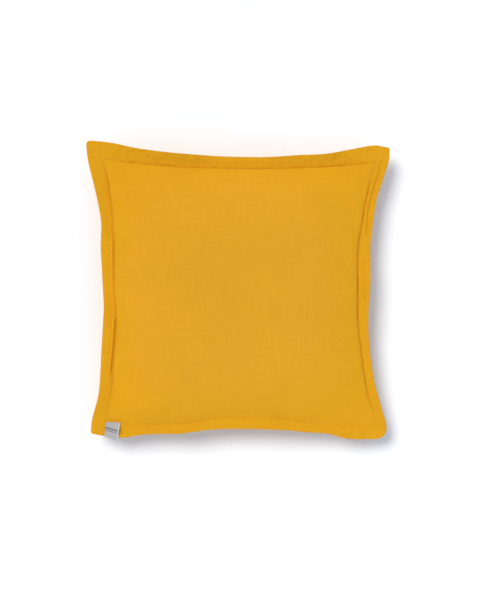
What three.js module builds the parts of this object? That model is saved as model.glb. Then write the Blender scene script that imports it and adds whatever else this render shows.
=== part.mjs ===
// A filled square pillowcase: two linen panels sewn together and topstitched in from their edge, so that
// a flat double flange stands all round the stuffed middle. A short woven label is folded over the
// flange near one corner. Units are millimetres and +Z is up. The cushion lies on its back with its
// face up: +X is to the right of the face and +Y is its upper side. The origin is on the floor under
// the middle of the whole part.

import * as THREE from 'three';

// Heights of the filled body. The stitch line arches from its low corners to STITCH_HEIGHT at the middle
// of a side.
const CROWN_HEIGHT = 140;
const STITCH_HEIGHT = 58;
const STITCH_ARCH_POWER = 1.4;

// The back would hang this far below the floor, which presses it flat there. The blend is how far from
// the floor the flat patch begins to lift.
const BACK_DIP = 30;
const FLOOR_BLEND = 9;

// The cloth stands up from the stitch line by the side's wall, a share of the body's height, and swells
// from there as (1 - |x|^SWELL_POWER)^fullness across each direction. BODY_SPAN is the body's width.
const SWELL_POWER = 2.1;
const BODY_SPAN = 430;

// Filling is never even: long shallow waves over the face. turnsX and turnsY: radians across the body.
const LUMPS = [
  { height: 1.2, turnsX: 5.1, startX: 0.7, turnsY: 4.3, startY: 1.9 },
  { height: 0.6, turnsX: 9.7, startX: 2.4, turnsY: 11.3, startY: 0.4 },
];

// Cloth of the flange: two panels and their turned edges, pressed thinner where they are stitched.
const FLANGE_THICKNESS = 2.6;
const STITCHED_THICKNESS = 1.6;
const EDGE_THICKNESS = 1.8;
const FLANGE_CURL_POWER = 1.4;

// Grid of the body in each direction, and how much finer the grid is beside the stitch line.
const BODY_STEPS = 36;
const EDGE_CROWDING = 0.55;

// Rows of the flange. across: 0 at the stitch line, 1 at the edge.
const FLANGE_ROWS = [
  { across: 0, thickness: STITCHED_THICKNESS },
  { across: 0.16, thickness: FLANGE_THICKNESS },
  { across: 0.45, thickness: FLANGE_THICKNESS },
  { across: 0.8, thickness: FLANGE_THICKNESS },
  { across: 1, thickness: EDGE_THICKNESS },
];

// The four corners seen from above. tip: the point that the flange's edges run to. stitch: the corner
// of the topstitching. height: of the stitch line there. rise: of the tip above it. round: how far from
// the tip the edge begins to turn.
const CORNERS = {
  frontLeft: { tipX: -241, tipY: -232, stitchX: -216, stitchY: -212, height: 43, rise: -3, round: 4 },
  frontRight: { tipX: 241.5, tipY: -241.3, stitchX: 225.5, stitchY: -220, height: 40, rise: -5, round: 21 },
  backRight: { tipX: 245.5, tipY: 232, stitchX: 220, stitchY: 208.5, height: 44, rise: -2, round: 5 },
  backLeft: { tipX: -249, tipY: 245, stitchX: -221.5, stitchY: 215, height: 42, rise: -4, round: 9 },
};

// The four sides, each from one corner to the next against the clock. fullness and wall: how the body
// swells beside it. foot: how far in from the stitches the wall takes to stand up. Each row is one place
// along the side. at: how far along, 0 to 1. edgeIn: how far the edge is drawn in from the straight line
// between the tips. stitchIn: the same for the stitch line between its corners. rise: how far the edge
// stands above the stitch line, or below it.
const SIDES = {
  front: {
    from: 'frontLeft', to: 'frontRight', inward: [0, 1], fullness: 0.9, wall: 0.04, foot: 7,
    rows: [
      { at: 0.05, edgeIn: -3.5, stitchIn: -0.5, rise: -2 },
      { at: 0.11, edgeIn: -5.6, stitchIn: -3.5, rise: -2 },
      { at: 0.17, edgeIn: 0.2, stitchIn: -2, rise: -1 },
      { at: 0.23, edgeIn: 2.3, stitchIn: -0.5, rise: -2 },
      { at: 0.3, edgeIn: 3.7, stitchIn: 1, rise: -2 },
      { at: 0.4, edgeIn: 10.8, stitchIn: 9, rise: -4 },
      { at: 0.5, edgeIn: 13.4, stitchIn: 11.5, rise: -4 },
      { at: 0.64, edgeIn: 13.1, stitchIn: 11, rise: -2 },
      { at: 0.73, edgeIn: 9.5, stitchIn: 6, rise: -3 },
      { at: 0.8, edgeIn: 7.3, stitchIn: 5, rise: -4 },
      { at: 0.86, edgeIn: 0, stitchIn: 3, rise: -4 },
      { at: 0.94, edgeIn: -0.5, stitchIn: 1.5, rise: -5 },
    ],
  },
  right: {
    from: 'frontRight', to: 'backRight', inward: [-1, 0], fullness: 0.92, wall: 0.07, foot: 2,
    rows: [
      { at: 0.05, edgeIn: 1.8, stitchIn: 5.5, rise: -5 },
      { at: 0.12, edgeIn: 11.6, stitchIn: 15.5, rise: -5 },
      { at: 0.2, edgeIn: 22.6, stitchIn: 22, rise: -4 },
      { at: 0.3, edgeIn: 30.2, stitchIn: 27.5, rise: -5 },
      { at: 0.4, edgeIn: 33.5, stitchIn: 32.2, rise: -7 },
      { at: 0.47, edgeIn: 33, stitchIn: 32.1, rise: -6 },
      { at: 0.54, edgeIn: 31, stitchIn: 32, rise: -5 },
      { at: 0.6, edgeIn: 31, stitchIn: 31.2, rise: -6 },
      { at: 0.68, edgeIn: 30.6, stitchIn: 29.6, rise: -6 },
      { at: 0.79, edgeIn: 24, stitchIn: 21, rise: -5 },
      { at: 0.84, edgeIn: 19.4, stitchIn: 17.2, rise: -4 },
      { at: 0.88, edgeIn: 13, stitchIn: 13, rise: -3 },
      { at: 0.95, edgeIn: 2.3, stitchIn: 5.2, rise: -3 },
    ],
  },
  back: {
    from: 'backRight', to: 'backLeft', inward: [0, -1], fullness: 0.94, wall: 0.09, foot: 1,
    rows: [
      { at: 0.05, edgeIn: -3.2, stitchIn: 3.5, rise: -1 },
      { at: 0.09, edgeIn: 0.3, stitchIn: 5.6, rise: 0 },
      { at: 0.13, edgeIn: 4.8, stitchIn: 7.7, rise: 1 },
      { at: 0.21, edgeIn: 13.2, stitchIn: 10.2, rise: 3 },
      { at: 0.31, edgeIn: 17.3, stitchIn: 12.7, rise: 2 },
      { at: 0.36, edgeIn: 20, stitchIn: 13.6, rise: 1 },
      { at: 0.43, edgeIn: 22.1, stitchIn: 14.7, rise: 0 },
      { at: 0.56, edgeIn: 22.4, stitchIn: 14.7, rise: 1 },
      { at: 0.7, edgeIn: 18.9, stitchIn: 13.7, rise: 3 },
      { at: 0.82, edgeIn: 12.6, stitchIn: 9.7, rise: 1 },
      { at: 0.92, edgeIn: 3.4, stitchIn: 5.4, rise: -2 },
    ],
  },
  left: {
    from: 'backLeft', to: 'frontLeft', inward: [1, 0], fullness: 0.88, wall: 0.13, foot: 1,
    rows: [
      { at: 0.07, edgeIn: 3.2, stitchIn: 8.7, rise: -3 },
      { at: 0.18, edgeIn: 15.4, stitchIn: 15, rise: -3 },
      { at: 0.28, edgeIn: 23.6, stitchIn: 17.5, rise: -4 },
      { at: 0.37, edgeIn: 22.5, stitchIn: 19, rise: -5 },
      { at: 0.43, edgeIn: 23.7, stitchIn: 18.6, rise: -5 },
      { at: 0.5, edgeIn: 25, stitchIn: 18.3, rise: -5 },
      { at: 0.57, edgeIn: 26.2, stitchIn: 20.4, rise: -3 },
      { at: 0.64, edgeIn: 23.7, stitchIn: 20.5, rise: -4 },
      { at: 0.72, edgeIn: 20.3, stitchIn: 17, rise: -5 },
      { at: 0.78, edgeIn: 18.5, stitchIn: 14.5, rise: -5 },
      { at: 0.87, edgeIn: 13.8, stitchIn: 11, rise: -4 },
      { at: 0.95, edgeIn: 3, stitchIn: 5.3, rise: -4 },
    ],
  },
};

// The label. stitchFrom and stitchTo: the stretch of the front stitch line that its ends cover. edgeFrom
// and edgeTo: the stretch of the edge under its fold, which hangs beyond the edge, further at the last.
const LABEL = {
  stitchFrom: 0.002,
  stitchTo: 0.0555,
  edgeFrom: 0.048,
  edgeTo: 0.0945,
  thickness: 1,
  gap: 0.3,
  startAcross: 0.03,
  hangFirst: -1,
  hangLast: 2.6,
  stepsAlong: 10,
  stepsAcross: 8,
  stepsRound: 6,
};

// One smooth curve through the rows of a side, which is nought at both of its ends.
function alongSide(side, column, at) {
  const first = { at: 0, edgeIn: 0, stitchIn: 0, rise: CORNERS[side.from].rise };
  const last = { at: 1, edgeIn: 0, stitchIn: 0, rise: CORNERS[side.to].rise };
  const rows = [first, ...side.rows, last];
  const slopeAt = (i) => {
    const before = rows[Math.max(i - 1, 0)];
    const after = rows[Math.min(i + 1, rows.length - 1)];
    return (after[column] - before[column]) / (after.at - before.at);
  };
  let i = 0;
  while (i < rows.length - 2 && at > rows[i + 1].at) i += 1;
  const width = rows[i + 1].at - rows[i].at;
  const s = (at - rows[i].at) / width;
  const rest = 1 - s;
  return (1 + 2 * s) * rest * rest * rows[i][column] + s * rest * rest * width * slopeAt(i)
    + s * s * (3 - 2 * s) * rows[i + 1][column] - s * s * rest * width * slopeAt(i + 1);
}

// A point of a drawn-in line, which runs between two corners and is pulled inwards by a column.
function drawnPoint(side, kind, column, at) {
  const start = CORNERS[side.from];
  const end = CORNERS[side.to];
  const drawn = alongSide(side, column, at);
  return new THREE.Vector2(
    THREE.MathUtils.lerp(start[`${kind}X`], end[`${kind}X`], at) + side.inward[0] * drawn,
    THREE.MathUtils.lerp(start[`${kind}Y`], end[`${kind}Y`], at) + side.inward[1] * drawn,
  );
}

function sideLength(side) {
  const start = CORNERS[side.from];
  const end = CORNERS[side.to];
  return Math.hypot(end.tipX - start.tipX, end.tipY - start.tipY);
}

// The flange's edge seen from above. Near a tip it turns on a quadratic curve.
function edgePoint(side, at) {
  const length = sideLength(side);
  const nearStart = at < 0.5;
  const corner = CORNERS[nearStart ? side.from : side.to];
  const away = (nearStart ? at : 1 - at) * length;
  if (away >= corner.round) return drawnPoint(side, 'tip', 'edgeIn', at);
  const meets = nearStart ? (s) => s.to === side.from : (s) => s.from === side.to;
  const other = Object.values(SIDES).find(meets);
  const here = corner.round / length;
  const there = corner.round / sideLength(other);
  const own = drawnPoint(side, 'tip', 'edgeIn', nearStart ? here : 1 - here);
  const across = drawnPoint(other, 'tip', 'edgeIn', nearStart ? 1 - there : there);
  const tip = new THREE.Vector2(corner.tipX, corner.tipY);
  const turn = new THREE.QuadraticBezierCurve(across, tip, own);
  return turn.getPoint(0.5 + 0.5 * (away / corner.round));
}

function stitchHeight(side, at) {
  const ends = THREE.MathUtils.lerp(CORNERS[side.from].height, CORNERS[side.to].height, at);
  return ends + (STITCH_HEIGHT - ends) * Math.sin(Math.PI * at) ** STITCH_ARCH_POWER;
}

// A point in the middle of the flange's thickness. across: 0 at the stitch line, 1 at the edge.
function flangePoint(side, at, across) {
  const inner = drawnPoint(side, 'stitch', 'stitchIn', at);
  const outer = edgePoint(side, at);
  const rise = alongSide(side, 'rise', at) * across ** FLANGE_CURL_POWER;
  return new THREE.Vector3(
    THREE.MathUtils.lerp(inner.x, outer.x, across),
    THREE.MathUtils.lerp(inner.y, outer.y, across),
    stitchHeight(side, at) + rise,
  );
}

// The sheet stretched between the four stitch lines, with u to the right and v towards the back.
function stitchSheet(u, v) {
  const { front, right, back, left } = SIDES;
  const point = new THREE.Vector3();
  point.addScaledVector(flangePoint(front, u, 0), 1 - v);
  point.addScaledVector(flangePoint(back, 1 - u, 0), v);
  point.addScaledVector(flangePoint(left, 1 - v, 0), 1 - u);
  point.addScaledVector(flangePoint(right, v, 0), u);
  point.addScaledVector(flangePoint(front, 0, 0), -(1 - u) * (1 - v));
  point.addScaledVector(flangePoint(right, 0, 0), -u * (1 - v));
  point.addScaledVector(flangePoint(back, 0, 0), -u * v);
  point.addScaledVector(flangePoint(left, 0, 0), -(1 - u) * v);
  return point;
}

// How far the cloth swells across one direction, where at is 0 on the first side and 1 on the last.
function swellAcross(at, first, last) {
  const side = at < 0.5 ? first : last;
  const rising = 1 - Math.exp(-Math.min(at, 1 - at) * BODY_SPAN / side.foot);
  const crowned = (1 - Math.abs(2 * at - 1) ** SWELL_POWER) ** side.fullness;
  return (side.wall + (1 - side.wall) * crowned) * rising;
}

// How far it swells at u, v, from 0 on the stitch line to 1 in the middle.
function swell(u, v) {
  return swellAcross(u, SIDES.left, SIDES.right) * swellAcross(v, SIDES.front, SIDES.back);
}

function lumpHeight(u, v) {
  const wave = (lump) => Math.sin(lump.turnsX * u + lump.startX) * Math.sin(lump.turnsY * v + lump.startY);
  return LUMPS.reduce((sum, lump) => sum + lump.height * wave(lump), 0);
}

// A height that runs smoothly onto the floor and is exactly nought where it would lie under it.
function onFloor(height) {
  if (height > FLOOR_BLEND) return height;
  if (height < -FLOOR_BLEND) return 0;
  return (height + FLOOR_BLEND) ** 2 / (4 * FLOOR_BLEND);
}

function bodyPoint(u, v, isTop) {
  const point = stitchSheet(u, v);
  const full = swell(u, v);
  const halfSeam = STITCHED_THICKNESS / 2;
  if (isTop) {
    point.z = THREE.MathUtils.lerp(point.z + halfSeam, CROWN_HEIGHT + lumpHeight(u, v), full);
  } else {
    point.z = onFloor(THREE.MathUtils.lerp(point.z - halfSeam, -BACK_DIP, full));
  }
  return point;
}

// Grid lines from 0 to 1, closer together near both ends.
function gridLine(i) {
  const even = i / BODY_STEPS;
  const crowded = 0.5 - 0.5 * Math.cos(Math.PI * even);
  return THREE.MathUtils.lerp(even, crowded, EDGE_CROWDING);
}

// A closed mesh out of shared points and the faces that join them.
function closedGeometry(points, faces) {
  const geometry = new THREE.BufferGeometry();
  geometry.setAttribute('position', new THREE.Float32BufferAttribute(points.flatMap((p) => p.toArray()), 3));
  geometry.setIndex(faces.flat());
  geometry.computeVertexNormals();
  return geometry;
}

// Two triangles over four points that run against the clock seen from outside.
function quad(a, b, c, d) {
  return [[a, b, c], [a, c, d]];
}

function makePillowcase() {
  const points = [];
  const faces = [];
  const add = (point) => points.push(point) - 1;

  // The body's own grid on the face and on the back. Its outermost points are the stitch line.
  const body = { top: [], bottom: [] };
  for (const face of ['top', 'bottom']) {
    for (let j = 0; j <= BODY_STEPS; j += 1) {
      const line = [];
      for (let i = 0; i <= BODY_STEPS; i += 1) {
        line.push(add(bodyPoint(gridLine(i), gridLine(j), face === 'top')));
      }
      body[face].push(line);
    }
  }
  const { top, bottom } = body;
  for (let j = 0; j < BODY_STEPS; j += 1) {
    for (let i = 0; i < BODY_STEPS; i += 1) {
      faces.push(...quad(top[j][i], top[j][i + 1], top[j + 1][i + 1], top[j + 1][i]));
      faces.push(...quad(bottom[j][i], bottom[j + 1][i], bottom[j + 1][i + 1], bottom[j][i + 1]));
    }
  }

  // The flange runs once round the body, one column of points for each point of the stitch line.
  const gridPlaces = [
    [SIDES.front, (k) => [0, k]],
    [SIDES.right, (k) => [k, BODY_STEPS]],
    [SIDES.back, (k) => [BODY_STEPS, BODY_STEPS - k]],
    [SIDES.left, (k) => [BODY_STEPS - k, 0]],
  ];
  const columns = [];
  for (const [side, placeOf] of gridPlaces) {
    for (let k = 0; k < BODY_STEPS; k += 1) {
      const [j, i] = placeOf(k);
      const column = { top: [top[j][i]], bottom: [bottom[j][i]] };
      for (const row of FLANGE_ROWS.slice(1)) {
        const middle = flangePoint(side, gridLine(k), row.across);
        const half = new THREE.Vector3(0, 0, row.thickness / 2);
        column.top.push(add(middle.clone().add(half)));
        column.bottom.push(add(middle.clone().sub(half)));
      }
      columns.push(column);
    }
  }
  const last = FLANGE_ROWS.length - 1;
  columns.forEach((here, index) => {
    const next = columns[(index + 1) % columns.length];
    for (let row = 0; row < last; row += 1) {
      faces.push(...quad(here.top[row], here.top[row + 1], next.top[row + 1], next.top[row]));
      faces.push(...quad(here.bottom[row], next.bottom[row], next.bottom[row + 1], here.bottom[row + 1]));
    }
    faces.push(...quad(here.top[last], here.bottom[last], next.bottom[last], next.top[last]));
  });
  return closedGeometry(points, faces);
}

// The label's middle line in cross-section at one place along the side: over the flange, round its edge
// and back under it. Each step has a point and the direction from the cloth outwards.
function labelSection(along) {
  const stand = LABEL.gap + LABEL.thickness / 2;
  const halfCloth = FLANGE_THICKNESS / 2;
  const hang = THREE.MathUtils.lerp(LABEL.hangFirst, LABEL.hangLast, along);
  const atStitch = THREE.MathUtils.lerp(LABEL.stitchFrom, LABEL.stitchTo, along);
  const atEdge = THREE.MathUtils.lerp(LABEL.edgeFrom, LABEL.edgeTo, along);
  const stitch = flangePoint(SIDES.front, atStitch, 0);
  const edge = flangePoint(SIDES.front, atEdge, 1);
  const outwards = edge.clone().sub(stitch).setZ(0);
  const endAcross = 1 + hang / outwards.length();
  outwards.normalize();
  const middleAt = (across) => {
    const at = THREE.MathUtils.lerp(atStitch, atEdge, across);
    return flangePoint(SIDES.front, at, across);
  };
  const steps = [];
  const addFlat = (share, up) => {
    const point = middleAt(THREE.MathUtils.lerp(LABEL.startAcross, endAcross, share));
    point.z += up * (halfCloth + stand);
    steps.push({ point, out: new THREE.Vector3(0, 0, up) });
  };
  for (let i = 0; i < LABEL.stepsAcross; i += 1) addFlat(i / LABEL.stepsAcross, 1);
  const turnCentre = middleAt(endAcross);
  for (let i = 0; i <= LABEL.stepsRound; i += 1) {
    const angle = Math.PI * (0.5 - i / LABEL.stepsRound);
    const out = outwards.clone().multiplyScalar(Math.cos(angle));
    out.z = Math.sin(angle);
    const point = turnCentre.clone().addScaledVector(out, halfCloth + stand);
    steps.push({ point, out });
  }
  for (let i = LABEL.stepsAcross - 1; i >= 0; i -= 1) addFlat(i / LABEL.stepsAcross, -1);
  return steps;
}

function makeLabel() {
  const points = [];
  const faces = [];
  const half = LABEL.thickness / 2;
  const sections = [];
  for (let k = 0; k <= LABEL.stepsAlong; k += 1) {
    const section = labelSection(k / LABEL.stepsAlong).map(({ point, out }) => ({
      outer: points.push(point.clone().addScaledVector(out, half)) - 1,
      inner: points.push(point.clone().addScaledVector(out, -half)) - 1,
    }));
    sections.push(section);
  }
  const lastStep = sections[0].length - 1;
  for (let k = 0; k < LABEL.stepsAlong; k += 1) {
    const here = sections[k];
    const next = sections[k + 1];
    for (let i = 0; i < lastStep; i += 1) {
      faces.push(...quad(here[i].outer, here[i + 1].outer, next[i + 1].outer, next[i].outer));
      faces.push(...quad(here[i].inner, next[i].inner, next[i + 1].inner, here[i + 1].inner));
    }
    const [start, nextStart] = [here[0], next[0]];
    faces.push(...quad(start.inner, start.outer, nextStart.outer, nextStart.inner));
    const [end, nextEnd] = [here[lastStep], next[lastStep]];
    faces.push(...quad(end.outer, end.inner, nextEnd.inner, nextEnd.outer));
  }
  const [firstSide, lastSide] = [sections[0], sections[LABEL.stepsAlong]];
  for (let i = 0; i < lastStep; i += 1) {
    const [a, b] = [firstSide[i], firstSide[i + 1]];
    faces.push(...quad(a.outer, a.inner, b.inner, b.outer));
    const [c, d] = [lastSide[i], lastSide[i + 1]];
    faces.push(...quad(d.outer, d.inner, c.inner, c.outer));
  }
  return closedGeometry(points, faces);
}

function namedMesh(name, geometry, material) {
  const mesh = new THREE.Mesh(geometry, material);
  mesh.name = name;
  return mesh;
}

const linen = new THREE.MeshStandardMaterial({ color: 0xe2a326, roughness: 0.92, metalness: 0 });
const ribbon = new THREE.MeshStandardMaterial({ color: 0xbdb9bd, roughness: 0.75, metalness: 0 });

const cushion = new THREE.Group();
cushion.name = 'filled_pillowcase';
cushion.add(namedMesh('pillowcase', makePillowcase(), linen));
cushion.add(namedMesh('label', makeLabel(), ribbon));

// The measured places above count from near the middle. This puts the middle of the whole part over the
// origin.
const middle = new THREE.Box3().setFromObject(cushion).getCenter(new THREE.Vector3());
cushion.position.set(-middle.x, -middle.y, 0);

export default cushion;
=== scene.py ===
# The look of a filled linen pillowcase: a stuffed square with a flat topstitched flange all round and a
# ribbon label folded over the flange. It is laid out as an add-on and is run as a script. The tables and the
# points made from them are in millimetres, counted from near the middle of the cushion on the floor. The
# settings, the finished meshes and the materials are in metres.
import math
from collections import namedtuple

import bpy
import numpy as np
from bpy.props import FloatProperty, FloatVectorProperty, IntProperty, PointerProperty
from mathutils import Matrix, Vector


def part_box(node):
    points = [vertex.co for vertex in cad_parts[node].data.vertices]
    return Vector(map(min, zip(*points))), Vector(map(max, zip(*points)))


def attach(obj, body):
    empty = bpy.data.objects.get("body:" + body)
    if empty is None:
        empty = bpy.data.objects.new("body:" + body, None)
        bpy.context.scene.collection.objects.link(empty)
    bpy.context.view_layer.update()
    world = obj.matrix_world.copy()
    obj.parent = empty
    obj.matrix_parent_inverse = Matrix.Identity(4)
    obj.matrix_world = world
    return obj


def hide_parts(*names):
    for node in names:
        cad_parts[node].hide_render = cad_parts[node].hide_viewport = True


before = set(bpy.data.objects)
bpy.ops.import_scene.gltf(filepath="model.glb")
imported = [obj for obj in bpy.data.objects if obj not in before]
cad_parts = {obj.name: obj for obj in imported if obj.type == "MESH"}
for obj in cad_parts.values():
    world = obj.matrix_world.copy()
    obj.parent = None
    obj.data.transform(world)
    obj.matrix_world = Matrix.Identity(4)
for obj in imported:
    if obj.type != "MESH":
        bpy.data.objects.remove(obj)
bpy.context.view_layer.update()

bl_info = {
    "name": "Filled Pillowcase",
    "version": (1, 0, 0),
    "blender": (4, 5, 0),
    "location": "View3D > Sidebar > Pillowcase",
    "description": "Builds a filled linen pillowcase with a topstitched flange and a ribbon label",
    "category": "Add Mesh",
}

MM = 0.001
BODY = "root"

# The four corners seen from above. tip: where the flange's edges run to. stitch: the corner of the
# topstitching. height: of the stitch line. rise: of the tip above it. turn: how far from the tip the
# edge begins to turn.
Corner = namedtuple("Corner", "tip stitch height rise turn")
CORNERS = {
    "front_left": Corner((-241, -232), (-216, -212), 43, -3, 4),
    "front_right": Corner((241.5, -241.3), (225.5, -220), 40, -5, 21),
    "back_right": Corner((245.5, 232), (220, 208.5), 44, -2, 5),
    "back_left": Corner((-249, 245), (-221.5, 215), 42, -4, 9),
}

# The four sides, each against the clock: the corners it joins, the way inwards, how fully the body swells
# and how steeply it starts beside it, and its rows. Each row is one place along the side: how far along
# from 0 to 1, how far the edge is drawn in, how far the stitch line is drawn in, how far the edge stands
# above the stitch line, and how sharply the stitches pull the cloth into a groove, from 0 to 1.
Side = namedtuple("Side", "start end inward fullness wall rows")
SIDES = {
    "front": Side("front_left", "front_right", (0, 1), 0.9, 0.04, (
        (0.05, -3.5, -0.5, -2, 0.2), (0.11, -5.6, -3.5, -2, 0.1), (0.17, 0.2, -2, -1, 0.15),
        (0.23, 2.3, -0.5, -2, 0), (0.3, 3.7, 1, -2, 0.3), (0.4, 10.8, 9, -4, 0.1), (0.5, 13.4, 11.5, -4, 0),
        (0.64, 13.1, 11, -2, 0.1), (0.73, 9.5, 6, -3, 0.2), (0.8, 7.3, 5, -4, 0), (0.86, 0, 3, -4, 0),
        (0.94, -0.5, 1.5, -5, 0),
    )),
    "right": Side("front_right", "back_right", (-1, 0), 0.92, 0.07, (
        (0.05, 1.8, 5.5, -5, 0.4), (0.12, 11.6, 15.5, -5, 0.6), (0.2, 22.6, 22, -4, 0.7),
        (0.3, 30.2, 27.5, -5, 0.65), (0.4, 33.5, 32.2, -7, 0.7), (0.47, 33, 32.1, -6, 0.65),
        (0.54, 31, 32, -5, 0.85), (0.6, 31, 31.2, -6, 0.6), (0.68, 30.6, 29.6, -6, 0.65),
        (0.79, 24, 21, -5, 0.7), (0.84, 19.4, 17.2, -4, 0.75), (0.88, 13, 13, -3, 0.8),
        (0.95, 2.3, 5.2, -3, 0.5),
    )),
    "back": Side("back_right", "back_left", (0, -1), 0.94, 0.09, (
        (0.05, -3.2, 3.5, -1, 0.9), (0.09, 0.3, 5.6, 0, 0.9), (0.13, 4.8, 7.7, 1, 0.9),
        (0.21, 13.2, 10.2, 3, 0.9), (0.31, 17.3, 12.7, 2, 0.8), (0.36, 20, 13.6, 1, 0.8),
        (0.43, 22.1, 14.7, 0, 0.8), (0.56, 22.4, 14.7, 1, 0.8), (0.7, 18.9, 13.7, 3, 0.9),
        (0.82, 12.6, 9.7, 1, 0.8), (0.92, 3.4, 5.4, -2, 0.6),
    )),
    "left": Side("back_left", "front_left", (1, 0), 0.88, 0.13, (
        (0.07, 3.2, 8.7, -3, 0.9), (0.18, 15.4, 15, -3, 0.8), (0.28, 23.6, 17.5, -4, 0.8),
        (0.37, 22.5, 19, -5, 0.7), (0.43, 23.7, 18.6, -5, 0.65), (0.5, 25, 18.3, -5, 0.8),
        (0.57, 26.2, 20.4, -3, 0.8), (0.64, 23.7, 20.5, -4, 0.65), (0.72, 20.3, 17, -5, 0.6),
        (0.78, 18.5, 14.5, -5, 0.7), (0.87, 13.8, 11, -4, 0.5), (0.95, 3, 5.3, -4, 0.2),
    )),
}
SIDE_NAMES = ("front", "right", "back", "left")
ROW_COLUMNS = {"edge_in": 1, "stitch_in": 2, "rise": 3, "groove": 4}

# The body stands up from the stitch line by the side's wall, a share of its height, and swells from there
# as (1 - |x| ** SWELL_POWER) ** fullness across each direction. The other two say how the stitch line
# arches along a side, and how the flange curls from there to its edge.
SWELL_POWER = 2.1
STITCH_ARCH_POWER = 1.4
FLANGE_CURL_POWER = 1.4

# The back would hang this far below the floor, which presses it flat there, and how softly it meets it.
BACK_DIP = 30
FLOOR_BLEND = 9

# Long shallow waves of the filling over the body: height, turns and start across, turns and start along.
Wave = namedtuple("Wave", "height turns_x start_x turns_y start_y")
LUMPS = (
    Wave(1.2, 5.1, 0.7, 4.3, 1.9),
    Wave(0.6, 9.7, 2.4, 11.3, 0.4),
    Wave(0.25, 23.0, 1.1, 19.0, 2.6),
    Wave(0.15, 37.0, 0.2, 41.0, 1.3),
)

# Places where the filling pushes the wall up higher: the side, how far along and how wide there, and the
# share of the body's height that is added.
Push = namedtuple("Push", "side place reach height")
PUSHES = (
    Push("left", 0.06, 0.03, 0.05),
    Push("left", 0.43, 0.05, 0.07),
    Push("left", 0.71, 0.07, 0.05),
)

# How far the body's foot is rounded where the stitches don't pull it into a groove, and where they do.
SOFT_FOOT = 9.0
SHARP_FOOT = 0.4

# Cloth of the flange in cross-section: across, which is 0 at the stitch line and 1 at the edge, and the
# thickness there where the stitches pull tight. Where they don't, it is as thick as RELAXED as far across
# as PINCHED. The cloth is taut in the first rows beside the stitches, and the rows crowd together there.
FLANGE_SECTION = (
    (0.0, 1.1), (0.025, 1.25), (0.055, 1.7), (0.09, 2.1), (0.13, 2.35), (0.18, 2.45), (0.24, 2.45),
    (0.44, 2.45), (0.49, 2.65), (0.54, 2.8), (0.74, 2.8), (0.87, 2.7), (0.92, 2.65),
)
RELAXED = 2.45
PINCHED = 0.3
FLANGE_ROWS = {"top": 36, "bottom": 16}
TAUT_ROWS = 8
ROW_CROWDING = 1.25

# Slow waves of the flange's edge up and down: wavelength, height and start. They start further on at each
# side, and fade over this share of it near a corner.
EDGE_WAVES = ((137, 0.8, 1.0), (71, 0.6, 0.3), (43, 0.35, 2.0), (26, 0.15, 4.0))
EDGE_WAVE_TURN = 2.3
EDGE_WAVE_FADE = 0.12

# The turned edges of the two panels, with the seam between them: outwards and up from the middle.
EDGE_SECTION = (
    (-0.95, 1.28), (-0.45, 1.14), (-0.12, 0.88), (0.0, 0.58), (-0.08, 0.28), (-0.4, 0.06),
)

# Puckers beside the topstitching, as the edge's waves. They calm down and grow again over CALM_LENGTH.
PUCKERS = ((7.5, 0.3, 0.4), (11.3, 0.4, 2.1), (19.0, 0.5, 4.4), (43.0, 0.6, 1.2))
PUCKER_TURN = 1.7
PUCKER_FADE = 0.04
CALM_LENGTH = 137
CALM_SHARE = 0.45


def side_length(side):
    """How far the tips at the two ends of a side are apart."""
    return math.dist(CORNERS[side.start].tip, CORNERS[side.end].tip)


def smooth_curve(places, values, at):
    """One smooth curve through the rows of values, which stand at the given places, read at other places."""
    count = len(places)
    after = np.minimum(np.arange(count) + 1, count - 1)
    before = np.maximum(np.arange(count) - 1, 0)

    def spread(row):
        return row.reshape(row.shape + (1,) * (values.ndim - 1))

    slopes = (values[after] - values[before]) / spread(places[after] - places[before])
    i = np.clip(np.searchsorted(places, at, side="left") - 1, 0, count - 2)
    width = places[i + 1] - places[i]
    s = spread((at - places[i]) / width)
    width = spread(width)
    rest = 1 - s
    return (
        (1 + 2 * s) * rest * rest * values[i]
        + s * rest * rest * width * slopes[i]
        + s * s * (3 - 2 * s) * values[i + 1]
        - s * s * rest * width * slopes[i + 1]
    )


def along(side, column, at):
    """One smooth curve through a column of a side's rows, at many places."""
    rise = column == "rise"
    first = CORNERS[side.start].rise if rise else 0
    last = CORNERS[side.end].rise if rise else 0
    places = np.array([0, *[row[0] for row in side.rows], 1], float)
    values = np.array([first, *[row[ROW_COLUMNS[column]] for row in side.rows], last], float)
    return smooth_curve(places, values, np.asarray(at, float))


def drawn_line(side, kind, column, at):
    """A line between two corners, pulled inwards by a column, seen from above."""
    start = np.array(getattr(CORNERS[side.start], kind), float)
    end = np.array(getattr(CORNERS[side.end], kind), float)
    at = np.asarray(at, float)[..., None]
    drawn = along(side, column, at[..., 0])[..., None]
    return start + (end - start) * at + np.array(side.inward, float) * drawn


def edge_line(side, at):
    """The flange's edge seen from above, which turns on a quadratic curve near each tip."""
    at = np.asarray(at, float)
    points = drawn_line(side, "tip", "edge_in", at)
    for near_start in (True, False):
        name = side.start if near_start else side.end
        corner = CORNERS[name]
        reach = corner.turn / side_length(side)
        away = at if near_start else 1 - at
        turning = away < reach
        if near_start:
            other = next(s for s in SIDES.values() if s.end == name)
        else:
            other = next(s for s in SIDES.values() if s.start == name)
        other_reach = corner.turn / side_length(other)
        own = drawn_line(side, "tip", "edge_in", reach if near_start else 1 - reach)
        across = drawn_line(other, "tip", "edge_in", 1 - other_reach if near_start else other_reach)
        t = (0.5 + 0.5 * away[turning] / reach)[:, None]
        tip = np.array(corner.tip, float)
        points[turning] = (1 - t) ** 2 * across + 2 * t * (1 - t) * tip + t * t * own
    return points


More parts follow.
